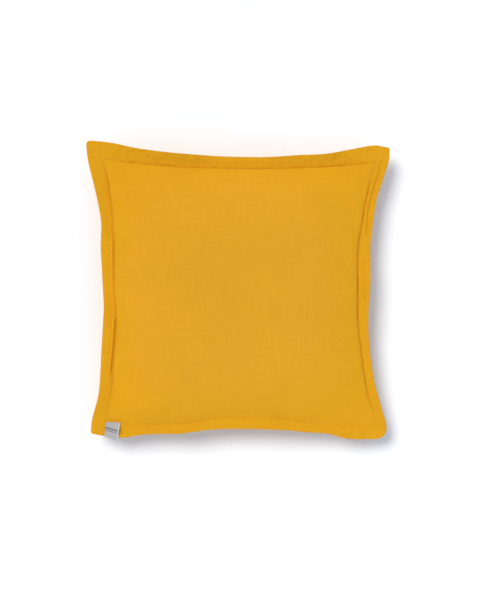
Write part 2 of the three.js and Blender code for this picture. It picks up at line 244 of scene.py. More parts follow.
def stitch_height(side, at, stitch_top):
    """Height of the stitch line along a side, which arches up between its corners."""
    ends = CORNERS[side.start].height * (1 - at) + CORNERS[side.end].height * at
    return ends + (stitch_top - ends) * np.maximum(np.sin(np.pi * at), 0) ** STITCH_ARCH_POWER


def faded_waves(waves, name, at, turn, fade):
    """The sum of waves along one side, which fade towards both its corners."""
    run = at * side_length(SIDES[name])
    total = sum(h * np.sin(math.tau * run / length + start + turn) for length, h, start in waves)
    return total * np.clip(np.minimum(at, 1 - at) / fade, 0, 1)


def pucker(name, at):
    """How the cloth ripples along the topstitching of one side, without a scale."""
    turn = SIDE_NAMES.index(name) * PUCKER_TURN
    run = at * side_length(SIDES[name])
    calm = 1 - CALM_SHARE + CALM_SHARE * np.sin(math.tau * run / CALM_LENGTH + 2 * turn)
    return faded_waves(PUCKERS, name, at, turn, PUCKER_FADE) * calm


def edge_wave(name, at):
    """How far the edge of one side waves up and down."""
    turn = SIDE_NAMES.index(name) * EDGE_WAVE_TURN
    return faded_waves(EDGE_WAVES, name, at, turn, EDGE_WAVE_FADE)


def beside_stitching(distance, peak):
    """0 on the stitch line, 1 at the peak distance, and back to 0 further off."""
    share = distance / peak
    return share * np.exp(1 - share)


def flange_middle(name, at, across, sizes):
    """Points in the middle of the flange's thickness."""
    side = SIDES[name]
    inner = drawn_line(side, "stitch", "stitch_in", at)
    outer = edge_line(side, at)
    rise = along(side, "rise", at) * across ** FLANGE_CURL_POWER
    width = np.linalg.norm(outer - inner, axis=-1)
    wave = pucker(name, at) * beside_stitching(across * width, sizes.pucker_reach / MM)
    flat = inner + (outer - inner) * across
    height = stitch_height(side, at, sizes.stitch_height / MM) + rise
    height = height + wave * sizes.flange_ripple / MM + edge_wave(name, at) * across ** FLANGE_CURL_POWER
    return np.concatenate([flat, height[..., None]], axis=-1)


def cloth_thickness(name, at, across):
    """Thickness of the flange's cloth, pinched beside the stitches as far as the groove is sharp."""
    thickness = np.interp(across, *zip(*FLANGE_SECTION))
    pinched = max(RELAXED - thickness, 0.0) if across < PINCHED else 0.0
    return thickness + pinched * (1 - along(SIDES[name], "groove", at))


def foot_rounding(name, at, distance):
    """0 on the stitch line and 1 further in, sooner where the groove is sharp."""
    sharp = np.clip(along(SIDES[name], "groove", at), 0, 1)
    reach = SHARP_FOOT + SOFT_FOOT * (1 - sharp) ** 2
    return 1 - np.exp(-distance / reach)


def on_floor(height):
    """A height that runs smoothly onto the floor, and is 0 where it would lie under it."""
    blended = (height + FLOOR_BLEND) ** 2 / (4 * FLOOR_BLEND)
    low = np.where(height < -FLOOR_BLEND, 0, blended)
    return np.where(height > FLOOR_BLEND, height, low)


def wall_beside(name, at):
    """How far the cloth stands up from the stitch line of one side, more where the filling pushes."""
    pushed = sum(p.height * np.exp(-((at - p.place) / p.reach) ** 2) for p in PUSHES if p.side == name)
    return SIDES[name].wall + pushed + np.zeros(at.shape)


def swell(lines, first, first_at, last, last_at):
    """How full the body is across one direction, one row for each place along the two sides."""
    x = 2 * lines - 1
    fullness = np.where(x < 0, SIDES[first].fullness, SIDES[last].fullness)
    walls = wall_beside(first, first_at), wall_beside(last, last_at)
    wall = np.where(x[None, :] < 0, walls[0][:, None], walls[1][:, None])
    crowned = np.maximum(1 - np.abs(x) ** SWELL_POWER, 0) ** fullness
    return wall + (1 - wall) * crowned[None, :]


def crowded_lines(steps, crowding):
    """Places from 0 to 1 that lie closer together towards both ends."""
    even = np.arange(steps + 1) / steps
    crowded = 0.5 - 0.5 * np.cos(np.pi * even)
    return even + (crowded - even) * crowding


def grid_lines(sizes):
    """Places of the finished body's grid lines."""
    return crowded_lines(sizes.body_steps, sizes.edge_crowding)


def body_face(on_top, lines, sizes):
    """The grid of one face of the stuffed body, whose outermost points are the stitch line."""
    zero = np.zeros(1)
    way = 0.5 if on_top else -0.5

    def stitch(name, at):
        points = flange_middle(name, at, 0.0, sizes)
        points[..., 2] += way * cloth_thickness(name, at, 0.0)
        return points

    front, back = stitch("front", lines), stitch("back", 1 - lines)
    left, right = stitch("left", 1 - lines), stitch("right", lines)
    u = lines[None, :, None]
    v = lines[:, None, None]
    sheet = front[None] * (1 - v) + back[None] * v + left[:, None] * (1 - u) + right[:, None] * u
    sheet = sheet - stitch("front", zero) * (1 - u) * (1 - v) - stitch("right", zero) * u * (1 - v)
    sheet = sheet - stitch("back", zero) * u * v - stitch("left", zero) * (1 - u) * v

    full = swell(lines, "left", 1 - lines, "right", lines)
    full = full * swell(lines, "front", lines, "back", 1 - lines).T
    span_x = np.linalg.norm(sheet[:, -1, :2] - sheet[:, 0, :2], axis=-1)[:, None]
    span_y = np.linalg.norm(sheet[-1, :, :2] - sheet[0, :, :2], axis=-1)[None, :]
    full = full * foot_rounding("left", 1 - lines[:, None], lines[None, :] * span_x)
    full = full * foot_rounding("right", lines[:, None], (1 - lines[None, :]) * span_x)
    full = full * foot_rounding("front", lines[None, :], lines[:, None] * span_y)
    full = full * foot_rounding("back", 1 - lines[None, :], (1 - lines[:, None]) * span_y)

    height = sheet[:, :, 2]
    if on_top:
        lumps = sum(
            w.height * np.sin(w.turns_x * u + w.start_x) * np.sin(w.turns_y * v + w.start_y)
            for w in LUMPS
        )[:, :, 0]
        crown = sizes.crown_height / MM + lumps
        sheet[:, :, 2] = height + (crown - height) * full
    else:
        sunk = height + (-BACK_DIP - height) * full
        sheet[:, :, 2] = on_floor(sunk)
    return sheet


def pucker_body(sheet, lines, sizes):
    """Ripples in the steep cloth beside the topstitching, which move it in and out."""
    reach = sizes.pucker_reach / MM
    depth = sizes.body_ripple / MM
    flat = sheet[:, :, :2].copy()
    for name, axis, step in (("left", 0, 1), ("right", 0, -1), ("front", 1, 1), ("back", 1, -1)):
        at = {"front": lines, "right": lines, "back": 1 - lines, "left": 1 - lines}[name]
        if axis == 0:
            rim = flat[:, 0 if step > 0 else -1, 0][:, None]
            wave = pucker(name, at)[:, None]
        else:
            rim = flat[0 if step > 0 else -1, :, 1][None, :]
            wave = pucker(name, at)[None, :]
        away = np.abs(flat[:, :, axis] - rim)
        sheet[:, :, axis] += -step * depth * wave * beside_stitching(away, reach)


# The cloth simulation of the stuffed body. Its grid is coarser than the finished one, and the cloth is cut
# larger than the stuffing by SPARE_CLOTH, so that it gathers along the seam that holds it.
SIM_STEPS = 96
SIM_CROWDING = 0.45
SIM_FRAMES = 20
SPARE_CLOTH = 0.01
CLOTH_SETTINGS = {
    "quality": 5,
    "mass": 0.3,
    "tension_stiffness": 15,
    "compression_stiffness": 15,
    "shear_stiffness": 5,
    "bending_stiffness": 0.5,
    "use_pressure": True,
    "uniform_pressure_force": 5.0,
    "shrink_min": -SPARE_CLOTH,
}
CONTACT_HEIGHT = 0.4

# Of its result, the gathers between these two lengths are kept, up to a height, and fade with the distance
# from the seam. The shares are of the face and of the back. TINY keeps a division from being by 0.
GATHER_LENGTHS = (4.0, 30.0)
GATHER_LIMIT = 3.0
GATHER_REACH = 75.0
GATHER_SHARES = {True: 0.4, False: 1.0}
TINY = 1e-9


def pressed_cloth(faces):
    """Simulates the body's cloth under the pressure of the stuffing, held at the seam and on the floor.

    Returns how far each point of the two grids moved.
    """
    mesh = ClosedMesh()
    numbers = [mesh.add(points) for points in faces]
    unused = np.zeros((*numbers[0].shape, 2))
    mesh.grid(numbers[0], unused, flip=False)
    mesh.grid(numbers[1], unused, flip=True)
    rims = [rim_of(grid) for grid in numbers]
    nexts = [np.roll(rim, -1) for rim in rims]
    flat = unused.reshape(-1, 2)[:len(rims[0])]
    mesh.quads(rims[0], rims[1], nexts[1], nexts[0], (flat, flat, flat, flat))
    body = mesh.to_object("pressed_cloth", (0.0, 0.0, 0.0))
    held = body.vertex_groups.new(name="held")
    resting = numbers[1][faces[1][..., 2] < CONTACT_HEIGHT]
    held.add([int(i) for i in np.concatenate([*rims, resting])], 1.0, "REPLACE")

    cloth = body.modifiers.new("cloth", "CLOTH")
    for name, value in CLOTH_SETTINGS.items():
        setattr(cloth.settings, name, value)
    cloth.settings.vertex_group_mass = held.name
    cloth.settings.effector_weights.gravity = 0
    cloth.point_cache.frame_start = 1
    cloth.point_cache.frame_end = SIM_FRAMES
    scene = bpy.context.scene
    for number in range(1, SIM_FRAMES + 1):
        scene.frame_set(number)
    settled = body.evaluated_get(bpy.context.evaluated_depsgraph_get()).to_mesh()
    places = np.empty(len(settled.vertices) * 3)
    settled.vertices.foreach_get("co", places)
    places = places.reshape(-1, 3) / MM
    moved = [places[grid] - points for grid, points in zip(numbers, faces)]
    bpy.data.objects.remove(body)
    scene.frame_set(1)
    return moved


def blurred(values, run, length):
    """Values smoothed along their first axis, whose rows stand at the given places."""
    weights = np.exp(-0.5 * ((run[:, None] - run[None, :]) / length) ** 2) * np.gradient(run)[None, :]
    weights /= weights.sum(axis=1)[:, None]
    return np.tensordot(weights, values, axes=1)


def only_gathers(shift, run):
    """The part of a shift along its first axis that lies between the two gather lengths."""
    return blurred(shift, run, GATHER_LENGTHS[0]) - blurred(shift, run, GATHER_LENGTHS[1])


def seam_gathers(sizes):
    """How the cloth gathers along the seam: two grids of shifts on the finished body's own lines."""
    fine = grid_lines(sizes)
    lines = crowded_lines(SIM_STEPS, SIM_CROWDING)
    faces = [body_face(on_top, lines, sizes) for on_top in (True, False)]
    moved = pressed_cloth(faces)
    run = lines * np.linalg.norm(faces[0][SIM_STEPS // 2, -1] - faces[0][SIM_STEPS // 2, 0])
    to_seam = np.minimum(run, run[-1] - run)
    across, up = to_seam[None, :, None], to_seam[:, None, None]
    gathers = {}
    for on_top, shift in zip((True, False), moved):
        by_row = only_gathers(shift.swapaxes(0, 1), run).swapaxes(0, 1)
        by_column = only_gathers(shift, run)
        near_row = across ** 2 / (across ** 2 + up ** 2 + TINY)
        kept = by_row * near_row + by_column * (1 - near_row)
        height = np.linalg.norm(kept, axis=-1, keepdims=True) / GATHER_LIMIT + TINY
        kept = kept * np.tanh(height) / height
        kept = kept * np.exp(-(np.minimum(across, up) / GATHER_REACH) ** 2) * GATHER_SHARES[on_top]
        kept = kept * np.clip(np.minimum(across, up) / GATHER_LENGTHS[0], 0, 1)
        finer = smooth_curve(lines, kept, fine)
        gathers[on_top] = smooth_curve(lines, finer.swapaxes(0, 1), fine).swapaxes(0, 1)
    return gathers


def run_along(points, axis=0):
    """How far each point of a line or grid lies from the first one, measured along an axis."""
    steps = np.linalg.norm(np.diff(points, axis=axis), axis=-1)
    return np.insert(np.cumsum(steps, axis=axis), 0, 0, axis=axis)


def arc_lengths(points):
    """Cloth coordinates of a grid of points, measured along the surface from its middle lines."""
    run_x, run_y = run_along(points, 1), run_along(points, 0)
    middle = len(points) // 2
    return np.stack([run_x - run_x[:, middle:middle + 1], run_y - run_y[middle:middle + 1]], axis=-1)


class ClosedMesh:
    """Collects points, faces and the cloth coordinates of each face's corners."""

    def __init__(self):
        self.points = []
        self.count = 0
        self.faces = []
        self.cloth = []

    def add(self, points):
        """Adds an array of points and returns their numbers in the same layout."""
        flat = points.reshape(-1, 3)
        numbers = np.arange(self.count, self.count + len(flat)).reshape(points.shape[:-1])
        self.points.append(flat)
        self.count += len(flat)
        return numbers

    def quads(self, a, b, c, d, cloth):
        """Faces over four arrays of numbers. cloth: the coordinates of a, b, c and d."""
        self.faces.append(np.stack([a, b, c, d], axis=-1).reshape(-1, 4))
        self.cloth.append(np.stack(cloth, axis=-2).reshape(-1, 4, 2))

    def grid(self, numbers, cloth, flip):
        """Faces over a grid of numbers, turned over where flip is set."""
        a, b, c, d = numbers[:-1, :-1], numbers[:-1, 1:], numbers[1:, 1:], numbers[1:, :-1]
        ca, cb, cc, cd = cloth[:-1, :-1], cloth[:-1, 1:], cloth[1:, 1:], cloth[1:, :-1]
        if flip:
            self.quads(a, d, c, b, (ca, cd, cc, cb))
        else:
            self.quads(a, b, c, d, (ca, cb, cc, cd))

    def to_object(self, name, shift):
        """A smooth object in the scene, made of all that was collected and shifted by metres."""
        points = np.concatenate(self.points) * MM + np.array(shift)
        faces = np.concatenate(self.faces)
        cloth = np.concatenate(self.cloth) * MM
        mesh = bpy.data.meshes.new(name)
        mesh.from_pydata(points.tolist(), [], faces.tolist())
        layer = mesh.uv_layers.new(name="cloth")
        layer.data.foreach_set("uv", cloth.astype(np.float32).ravel())
        mesh.polygons.foreach_set("use_smooth", [True] * len(mesh.polygons))
        mesh.validate()
        mesh.update()
        made = bpy.data.objects.new(name, mesh)
        bpy.context.scene.collection.objects.link(made)
        return made


def rim_of(grid):
    """The outermost ring of a grid against the clock from its first corner, without a repeat."""
    return np.concatenate([grid[0, :-1], grid[:-1, -1], grid[-1, :0:-1], grid[:0:-1, 0]])


def rim_places(sizes):
    """For each point of that ring, its side and how far along it lies."""
    lines = grid_lines(sizes)[:-1]
    return [(name, lines) for name in SIDE_NAMES]


def round_the_rim(sizes, make):
    """One array for the whole rim from a function of a side's name and the places along it."""
    return np.concatenate([make(name, at) for name, at in rim_places(sizes)])


def flange_rings(sizes):
    """Rings of points round the flange, from the top panel's stitch line to the bottom panel's."""
    inner = round_the_rim(sizes, lambda name, at: flange_middle(name, at, 0.0, sizes))
    outer = round_the_rim(sizes, lambda name, at: flange_middle(name, at, 1.0, sizes))
    outwards = outer - inner
    outwards[:, 2] = 0
    outwards /= np.linalg.norm(outwards, axis=-1)[:, None]
    panels = []
    for panel, way in (("top", 0.5), ("bottom", -0.5)):
        rings = []
        last = FLANGE_SECTION[-1][0]
        for row in range(1, FLANGE_ROWS[panel] + 1):
            across = last * (row / FLANGE_ROWS[panel]) ** ROW_CROWDING
            ring = round_the_rim(sizes, lambda name, at: flange_middle(name, at, across, sizes))
            thick = round_the_rim(sizes, lambda name, at: cloth_thickness(name, at, across))
            ring[:, 2] += way * thick
            rings.append(ring)
        for out, up in EDGE_SECTION:
            rings.append(outer + outwards * out + np.array([0, 0, 2 * way * up]))
        panels.append(np.stack(rings if way > 0 else rings[::-1]))
    return panels


# Soft pleats in the top of the flange: a path seen from above, how deep and how wide. One with a depth
# below 0 stands up as a lip. Beside each the cloth rises by PLEAT_RISE of the depth, PLEAT_RISE_AT widths
# away, and each fades over PLEAT_FADE at both ends.
PLEAT_RISE = 0.4
PLEAT_RISE_AT = 2.0
PLEAT_FADE = 12
Crease = namedtuple("Crease", "path depth width")
CREASES = (
    Crease((
        (234, 220), (232.5, 212), (229, 204.5), (228.5, 196), (226, 187), (223, 178), (219, 168.5),
        (216.5, 157), (213, 144.5), (210.5, 133), (208, 115), (207, 100), (205, 84),
    ), 1.3, 1.3),
    Crease(((231, 190), (234, 183), (237, 176)), 0.8, 1.6),
    Crease(((221.5, 160), (226.5, 151), (227.5, 141)), 0.7, 1.6),
    Crease(((180, 224), (203, 228), (222, 227), (238, 225.5)), 0.7, 1.1),
    Crease(((203.5, 60), (202.5, 40), (202.5, 0), (203, -24)), 0.8, 1.3),
    Crease((
        (-201.4, -38), (-201.6, -56), (-203.4, -76), (-205, -94), (-207.2, -117), (-210.5, -143),
    ), -1.75, 1.6),
    Crease(((-205, 90), (-204.6, 66), (-204.2, 40), (-204.2, 18), (-204, 2)), -0.7, 1.8),
)


def crease_shift(points):
    """How far each point moves up in the pleats: down along the path and up on both sides of it."""
    shift = np.zeros(len(points))
    for crease in CREASES:
        path = np.array(crease.path, float)
        nearest = np.full(len(points), np.inf)
        ends = np.zeros(len(points))
        runs = run_along(path)
        lengths = np.diff(runs)
        for i, (a, b) in enumerate(zip(path[:-1], path[1:])):
            t = np.clip(((points[:, :2] - a) @ (b - a)) / lengths[i] ** 2, 0, 1)
            d = np.linalg.norm(points[:, :2] - a - t[:, None] * (b - a), axis=1)
            closer = d < nearest
            nearest[closer] = d[closer]
            run = runs[i] + t * lengths[i]
            ends[closer] = np.minimum(run, runs[-1] - run)[closer]
        away = nearest / crease.width
        fold = PLEAT_RISE * np.exp(-((away - PLEAT_RISE_AT) ** 2)) - np.exp(-(away ** 2))
        shift += crease.depth * fold * np.clip(ends / PLEAT_FADE, 0, 1)
    return shift


def cushion_shift(sizes):
    """Metres from the tables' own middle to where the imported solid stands."""
    edge = round_the_rim(sizes, lambda name, at: flange_middle(name, at, 1.0, sizes))
    own = (edge[:, :2].min(axis=0) + edge[:, :2].max(axis=0)) / 2 * MM
    low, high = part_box("pillowcase")
    middle = (low + high) / 2
    return (middle.x - own[0], middle.y - own[1], 0.0)


def finished_piece(mesh, name, sizes, material):
    """The object of a collected mesh in its place, with its material and slot, riding on the body."""
    piece = mesh.to_object(name, cushion_shift(sizes))
    piece.data.materials.append(material)
    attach(piece, BODY)
    return piece


def make_cushion(sizes, material):
    """The body's two faces, the flange's two panels that grow out of them, and the seam round the edge."""
    mesh = ClosedMesh()
    rims = {}
    lines = grid_lines(sizes)
    gathers = seam_gathers(sizes)
    for on_top in (True, False):
        points = body_face(on_top, lines, sizes)
        cloth = arc_lengths(points)
        pucker_body(points, lines, sizes)
        points = points + gathers[on_top]
        points[..., 2] = np.maximum(points[..., 2], 0.0)
        if not on_top:
            cloth[..., 0] *= -1
        numbers = mesh.add(points)
        mesh.grid(numbers, cloth, flip=not on_top)
        rims[on_top] = (rim_of(points), rim_of(cloth), rim_of(numbers))

    top, bottom = flange_rings(sizes)
    top[..., 2] += crease_shift(top.reshape(-1, 3)).reshape(top.shape[:-1])
    panels = {}
    for on_top, rings in ((True, top), (False, bottom)):
        rim_points, rim_cloth, rim_numbers = rims[on_top]
        offset = rings[..., :2] - rim_points[None, :, :2]
        if not on_top:
            offset[..., 0] *= -1
        order = 1 if on_top else -1
        numbers = np.concatenate([rim_numbers[None], mesh.add(rings)][::order])
        cloth = np.concatenate([rim_cloth[None], rim_cloth[None] + offset][::order])
        panels[on_top] = (numbers, cloth)
        around, cloth_around = np.roll(numbers, -1, axis=1), np.roll(cloth, -1, axis=1)
        mesh.quads(
            numbers[:-1], numbers[1:], around[1:], around[:-1],
            (cloth[:-1], cloth[1:], cloth_around[1:], cloth_around[:-1]),
        )
    loose = np.zeros(mesh.count)
    for on_top, (numbers, _) in panels.items():
        rows_out = np.arange(len(numbers))[::1 if on_top else -1]
        loose[numbers] = np.clip(rows_out / TAUT_ROWS, 0, 1)[:, None]
    upper, upper_cloth = panels[True][0][-1], panels[True][1][-1]
    lower = panels[False][0][0]
    next_upper, next_lower = np.roll(upper, -1), np.roll(lower, -1)
    next_cloth = np.roll(upper_cloth, -1, axis=0)
    mesh.quads(upper, lower, next_lower, next_upper, (upper_cloth, upper_cloth, next_cloth, next_cloth))

    cushion = finished_piece(mesh, "linen_cushion", sizes, material)
    cushion.data.attributes.new("loose", "FLOAT", "POINT").data.foreach_set("value", loose)
    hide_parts("pillowcase")


# One stitch: places along it with the share of the thread's thickness there, and the power and height of
# its bow. Its thread takes up STITCH_SHARE of its length, and starts at these shares of it on the face, 1,
# and on the back, -1. It stands STITCH_STAND above the cloth at its ends. The line that the stitches follow
# is measured at STITCH_SAMPLES places.
STITCH_PLACES = np.array([0.0, 0.12, 0.3, 0.5, 0.7, 0.88, 1.0])
STITCH_THICKNESS = np.array([0.35, 0.85, 1.0, 1.0, 1.0, 0.85, 0.35])
STITCH_BOW_POWER = 0.6
STITCH_BOW = 0.36
STITCH_SHARE = 0.82
STITCH_STARTS = {1: 0.1, -1: 0.6}
STITCH_STAND = 0.12
STITCH_SAMPLES = 2000
THREAD_SIDES = 6
THREAD_END_QUADS = ((0, 1, 2, 3), (0, 3, 4, 5))


def tube(path, radius, sides):
    """Rings of points round a path, as thick as the radius says at each place."""
    steps = np.gradient(path, axis=0)
    steps /= np.linalg.norm(steps, axis=1)[:, None]
    across = np.cross(steps, np.array([0.0, 0.0, 1.0]))
    across /= np.linalg.norm(across, axis=1)[:, None]
    over = np.cross(across, steps)
    angles = math.tau * np.arange(sides) / sides
    ring = np.cos(angles)[None, :, None] * across[:, None] + np.sin(angles)[None, :, None] * over[:, None]
    return path[:, None] + ring * radius[:, None, None]


def stitch_path(name, at, up, thread, sizes):
    """The middle of the thread of one stitch, on the face where up is 1 and on the back where it is -1."""
    path = flange_middle(name, at, sizes.stitch_across, sizes)
    bow = np.sin(np.pi * STITCH_PLACES) ** STITCH_BOW_POWER * STITCH_BOW
    lift = cloth_thickness(name, at, sizes.stitch_across) / 2 + STITCH_STAND - thread + bow
    if name == "front":
        lift = lift + over_label(at, sizes)
    path[:, 2] += up * lift
    if up > 0:
        path[:, 2] += crease_shift(path)
    return path


def make_topstitching(sizes, material):
    """Separate thread stitches over the stitch line, on the face and on the back."""
    mesh = ClosedMesh()
    thread = sizes.thread_width / MM / 2
    dense = np.linspace(0, 1, STITCH_SAMPLES)
    for name in SIDE_NAMES:
        line = flange_middle(name, dense, sizes.stitch_across, sizes)
        run = run_along(line)
        count = int(round(run[-1] / (sizes.stitch_length / MM)))
        for k in range(count):
            for up, first in STITCH_STARTS.items():
                start = (k + first) / count
                if start + STITCH_SHARE / count > 1:
                    continue
                stops = (start + STITCH_PLACES * STITCH_SHARE / count) * run[-1]
                path = stitch_path(name, np.interp(stops, run, dense), up, thread, sizes)
                numbers = mesh.add(tube(path, thread * STITCH_THICKNESS, THREAD_SIDES))
                around = np.roll(numbers, -1, axis=1)
                where = np.stack(np.meshgrid(np.arange(THREAD_SIDES + 1) * thread, stops), axis=-1)
                mesh.quads(
                    numbers[:-1], numbers[1:], around[1:], around[:-1],
                    (where[:-1, :-1], where[1:, :-1], where[1:, 1:], where[:-1, 1:]),
                )
                for ring, order in ((numbers[0], 1), (numbers[-1], -1)):
                    for quad in THREAD_END_QUADS:
                        mesh.quads(*[ring[i:i + 1] for i in quad[::order]], [where[:1, 0]] * 4)
    finished_piece(mesh, "topstitching", sizes, material)


# The label. The stretch of the front stitch line that its ends cover, the stretch of the edge under its
# fold, and how far it hangs beyond the edge, each at its first and last side. It starts just outside the
# stitch line, keeps clear of the cloth by LABEL_STAND, and curls up by LABEL_LIFT towards its last side.
LABEL_STITCH = (0.002, 0.0555)
LABEL_EDGE = (0.048, 0.0945)
LABEL_HANG = (-1.0, 2.6)
LABEL_START_ACROSS = 0.03
LABEL_STAND = 0.25
LABEL_HALF_CLOTH = 1.4
LABEL_LIFT = 4.2
LABEL_LIFT_POWER = 6
LABEL_STITCH_LIFT = 0.35
LABEL_STEPS = 36
LABEL_FLAT_STEPS = 26
LABEL_TURN_STEPS = 14
UPWARDS = np.array([0.0, 0.0, 1.0])


def over_label(at, sizes):
    """How far the label's end lifts a stitch that catches it."""
    inside = (at > LABEL_STITCH[0]) & (at < LABEL_STITCH[1])
    return np.where(inside, sizes.label_thickness / MM + LABEL_STITCH_LIFT, 0.0)


def part_way(ends, share):
    """A value between two ends."""
    return ends[0] + (ends[1] - ends[0]) * share


def label_section(share, sizes):
    """The label's middle line at one place along the side, and the direction outwards from the cloth."""
    stand = LABEL_HALF_CLOTH + LABEL_STAND + sizes.label_thickness / MM / 2
    at_stitch, at_edge = part_way(LABEL_STITCH, share), part_way(LABEL_EDGE, share)
    stitch = flange_middle("front", np.array([at_stitch]), 0.0, sizes)[0]
    edge = flange_middle("front", np.array([at_edge]), 1.0, sizes)[0]
    outwards = edge - stitch
    outwards[2] = 0
    width = np.linalg.norm(outwards)
    outwards /= width
    end_across = 1 + part_way(LABEL_HANG, share) / width

    def middle_at(across):
        at = np.array([part_way((at_stitch, at_edge), across)])
        return flange_middle("front", at, across, sizes)[0]

    points, outs = [], []
    flats = part_way((LABEL_START_ACROSS, end_across), np.arange(LABEL_FLAT_STEPS) / LABEL_FLAT_STEPS)
    for across in flats:
        bow = LABEL_LIFT * share ** LABEL_LIFT_POWER * math.sin(math.pi * min(across, 1.0)) ** 2
        points.append(middle_at(across) + UPWARDS * (stand + bow))
        outs.append(UPWARDS)
    centre = middle_at(end_across)
    for i in range(LABEL_TURN_STEPS + 1):
        angle = math.pi * (0.5 - i / LABEL_TURN_STEPS)
        out = outwards * math.cos(angle) + UPWARDS * math.sin(angle)
        points.append(centre + out * stand)
        outs.append(out)
    for across in flats[::-1]:
        points.append(middle_at(across) - UPWARDS * stand)
        outs.append(-UPWARDS)
    return np.array(points), np.array(outs)


def make_label(sizes, material):
    """The folded ribbon, with its two faces, its two sides and its two cut ends."""
    mesh = ClosedMesh()
    half = sizes.label_thickness / MM / 2
    shares = np.arange(LABEL_STEPS + 1) / LABEL_STEPS
    sections = [label_section(share, sizes) for share in shares]
    middle = np.stack([points for points, _ in sections])
    outs = np.stack([out for _, out in sections])
    run = run_along(middle, 1)
    width = np.linalg.norm(middle[-1, 0] - middle[0, 0])
    run = run - run[:, run.shape[1] // 2][:, None]
    cloth = np.stack([np.broadcast_to(shares[:, None] * width, run.shape), run], axis=-1)
    outer = mesh.add(middle + outs * half)
    inner = mesh.add(middle - outs * half)
    mesh.grid(outer, cloth, flip=False)
    mesh.grid(inner, cloth, flip=True)
    for index, flip in ((0, True), (-1, False)):
        pair = np.stack([outer[index], inner[index]])
        mesh.grid(pair, np.stack([cloth[index], cloth[index]]), flip=flip)
        ends = np.stack([outer[:, index], inner[:, index]], axis=1)
        mesh.grid(ends, np.stack([cloth[:, index], cloth[:, index]], axis=1), flip=flip)
    label = finished_piece(mesh, "ribbon_label", sizes, material)
    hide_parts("label")


class NodeTree:
    """A thin helper that adds and links nodes of one tree."""

    def __init__(self, tree):
        self.tree = tree

    def feed(self, socket, value):
        """Links a node's output to the socket, or sets the socket to a value."""
        if isinstance(value, bpy.types.NodeSocket):
            self.tree.links.new(value, socket)
        else:
            socket.default_value = value

    def add(self, kind, inputs=(), **settings):
        made = self.tree.nodes.new(kind)
        for key, value in settings.items():
            setattr(made, key, value)
        for key, value in dict(inputs).items():
            self.feed(made.inputs[key], value)
        return made

    def group(self, name, builder, inputs):
        """The outputs of a shared group, which is built where it is placed first."""
        tree = bpy.data.node_groups.get(name) or builder()
        return self.add("ShaderNodeGroup", inputs, node_tree=tree).outputs

    def math(self, operation, first, second=0.0):
        return self.add("ShaderNodeMath", {0: first, 1: second}, operation=operation).outputs[0]

    def vector_math(self, operation, first, second):
        return self.add("ShaderNodeVectorMath", {0: first, 1: second}, operation=operation).outputs[0]

    def scale(self, vector, factor):
        inputs = {0: vector, "Scale": factor}
        return self.add("ShaderNodeVectorMath", inputs, operation="SCALE").outputs[0]

    def split(self, vector):
        return self.add("ShaderNodeSeparateXYZ", {0: vector}).outputs

    def between(self, value, low, high):
        """0 below low, 1 above high, and smooth between them."""
        inputs = {"Value": value, "From Min": low, "From Max": high}
        return self.add("ShaderNodeMapRange", inputs, interpolation_type="SMOOTHSTEP").outputs[0]

    def either(self, factor, first, second):
        """The first number where the factor is 0, the second where it is 1."""
        return self.add("ShaderNodeMix", {0: factor, 2: first, 3: second}, data_type="FLOAT").outputs[0]

    def blend(self, kind, factor, first, second):
        """Two colours put together."""
        made = self.add("ShaderNodeMix", data_type="RGBA", blend_type=kind)
        for name, value in (("Factor_Float", factor), ("A_Color", first), ("B_Color", second)):
            self.feed(next(s for s in made.inputs if s.identifier == name), value)
        return next(s for s in made.outputs if s.identifier == "Result_Color")

    def thread_noises(self, vector, stretch, detail):
        """Two noises, one drawn out along each way of the threads."""
        noises = []
        for scale in ((*stretch, 1.0), (*stretch[::-1], 1.0)):
            mapping = self.add("ShaderNodeMapping", {"Vector": vector, "Scale": scale})
            inputs = {"Vector": mapping.outputs[0], "Scale": 1.0, "Detail": detail}
            noises.append(self.add("ShaderNodeTexNoise", inputs).outputs[0])
        return noises

    def bump(self, **inputs):
        return self.add("ShaderNodeBump", inputs).outputs[0]

    def cloth(self):
        """Place on the cloth in metres."""
        return self.add("ShaderNodeUVMap", uv_map="cloth").outputs[0]

    def place(self):
        """Place on the object in metres."""
        return self.add("ShaderNodeTexCoord").outputs["Object"]


def new_group(name, inputs, outputs):
    """An empty shader group. An input without a default is a vector, all else are numbers."""
    group = bpy.data.node_groups.new(name, "ShaderNodeTree")
    for label, default in inputs.items():
        kind = "NodeSocketVector" if default is None else "NodeSocketFloat"
        socket = group.interface.new_socket(label, in_out="INPUT", socket_type=kind)
        if default is not None:
            socket.default_value = default
    for label in outputs:
        group.interface.new_socket(label, in_out="OUTPUT", socket_type="NodeSocketFloat")
    nodes = NodeTree(group)
    source = nodes.add("NodeGroupInput").outputs
    result = nodes.add("NodeGroupOutput").inputs
    return group, nodes, source, result


# The weave: how closely its threads waver, how far its noises of tone and of thick places are drawn out
# along the threads and across them, and where a place begins to be thick and is fully so.
WAVER_SCALE = 60.0
TONE_STRETCH = (0.012, 0.45)
SLUB_STRETCH = (0.035, 0.42)
SLUB_RANGE = (0.7, 0.82)


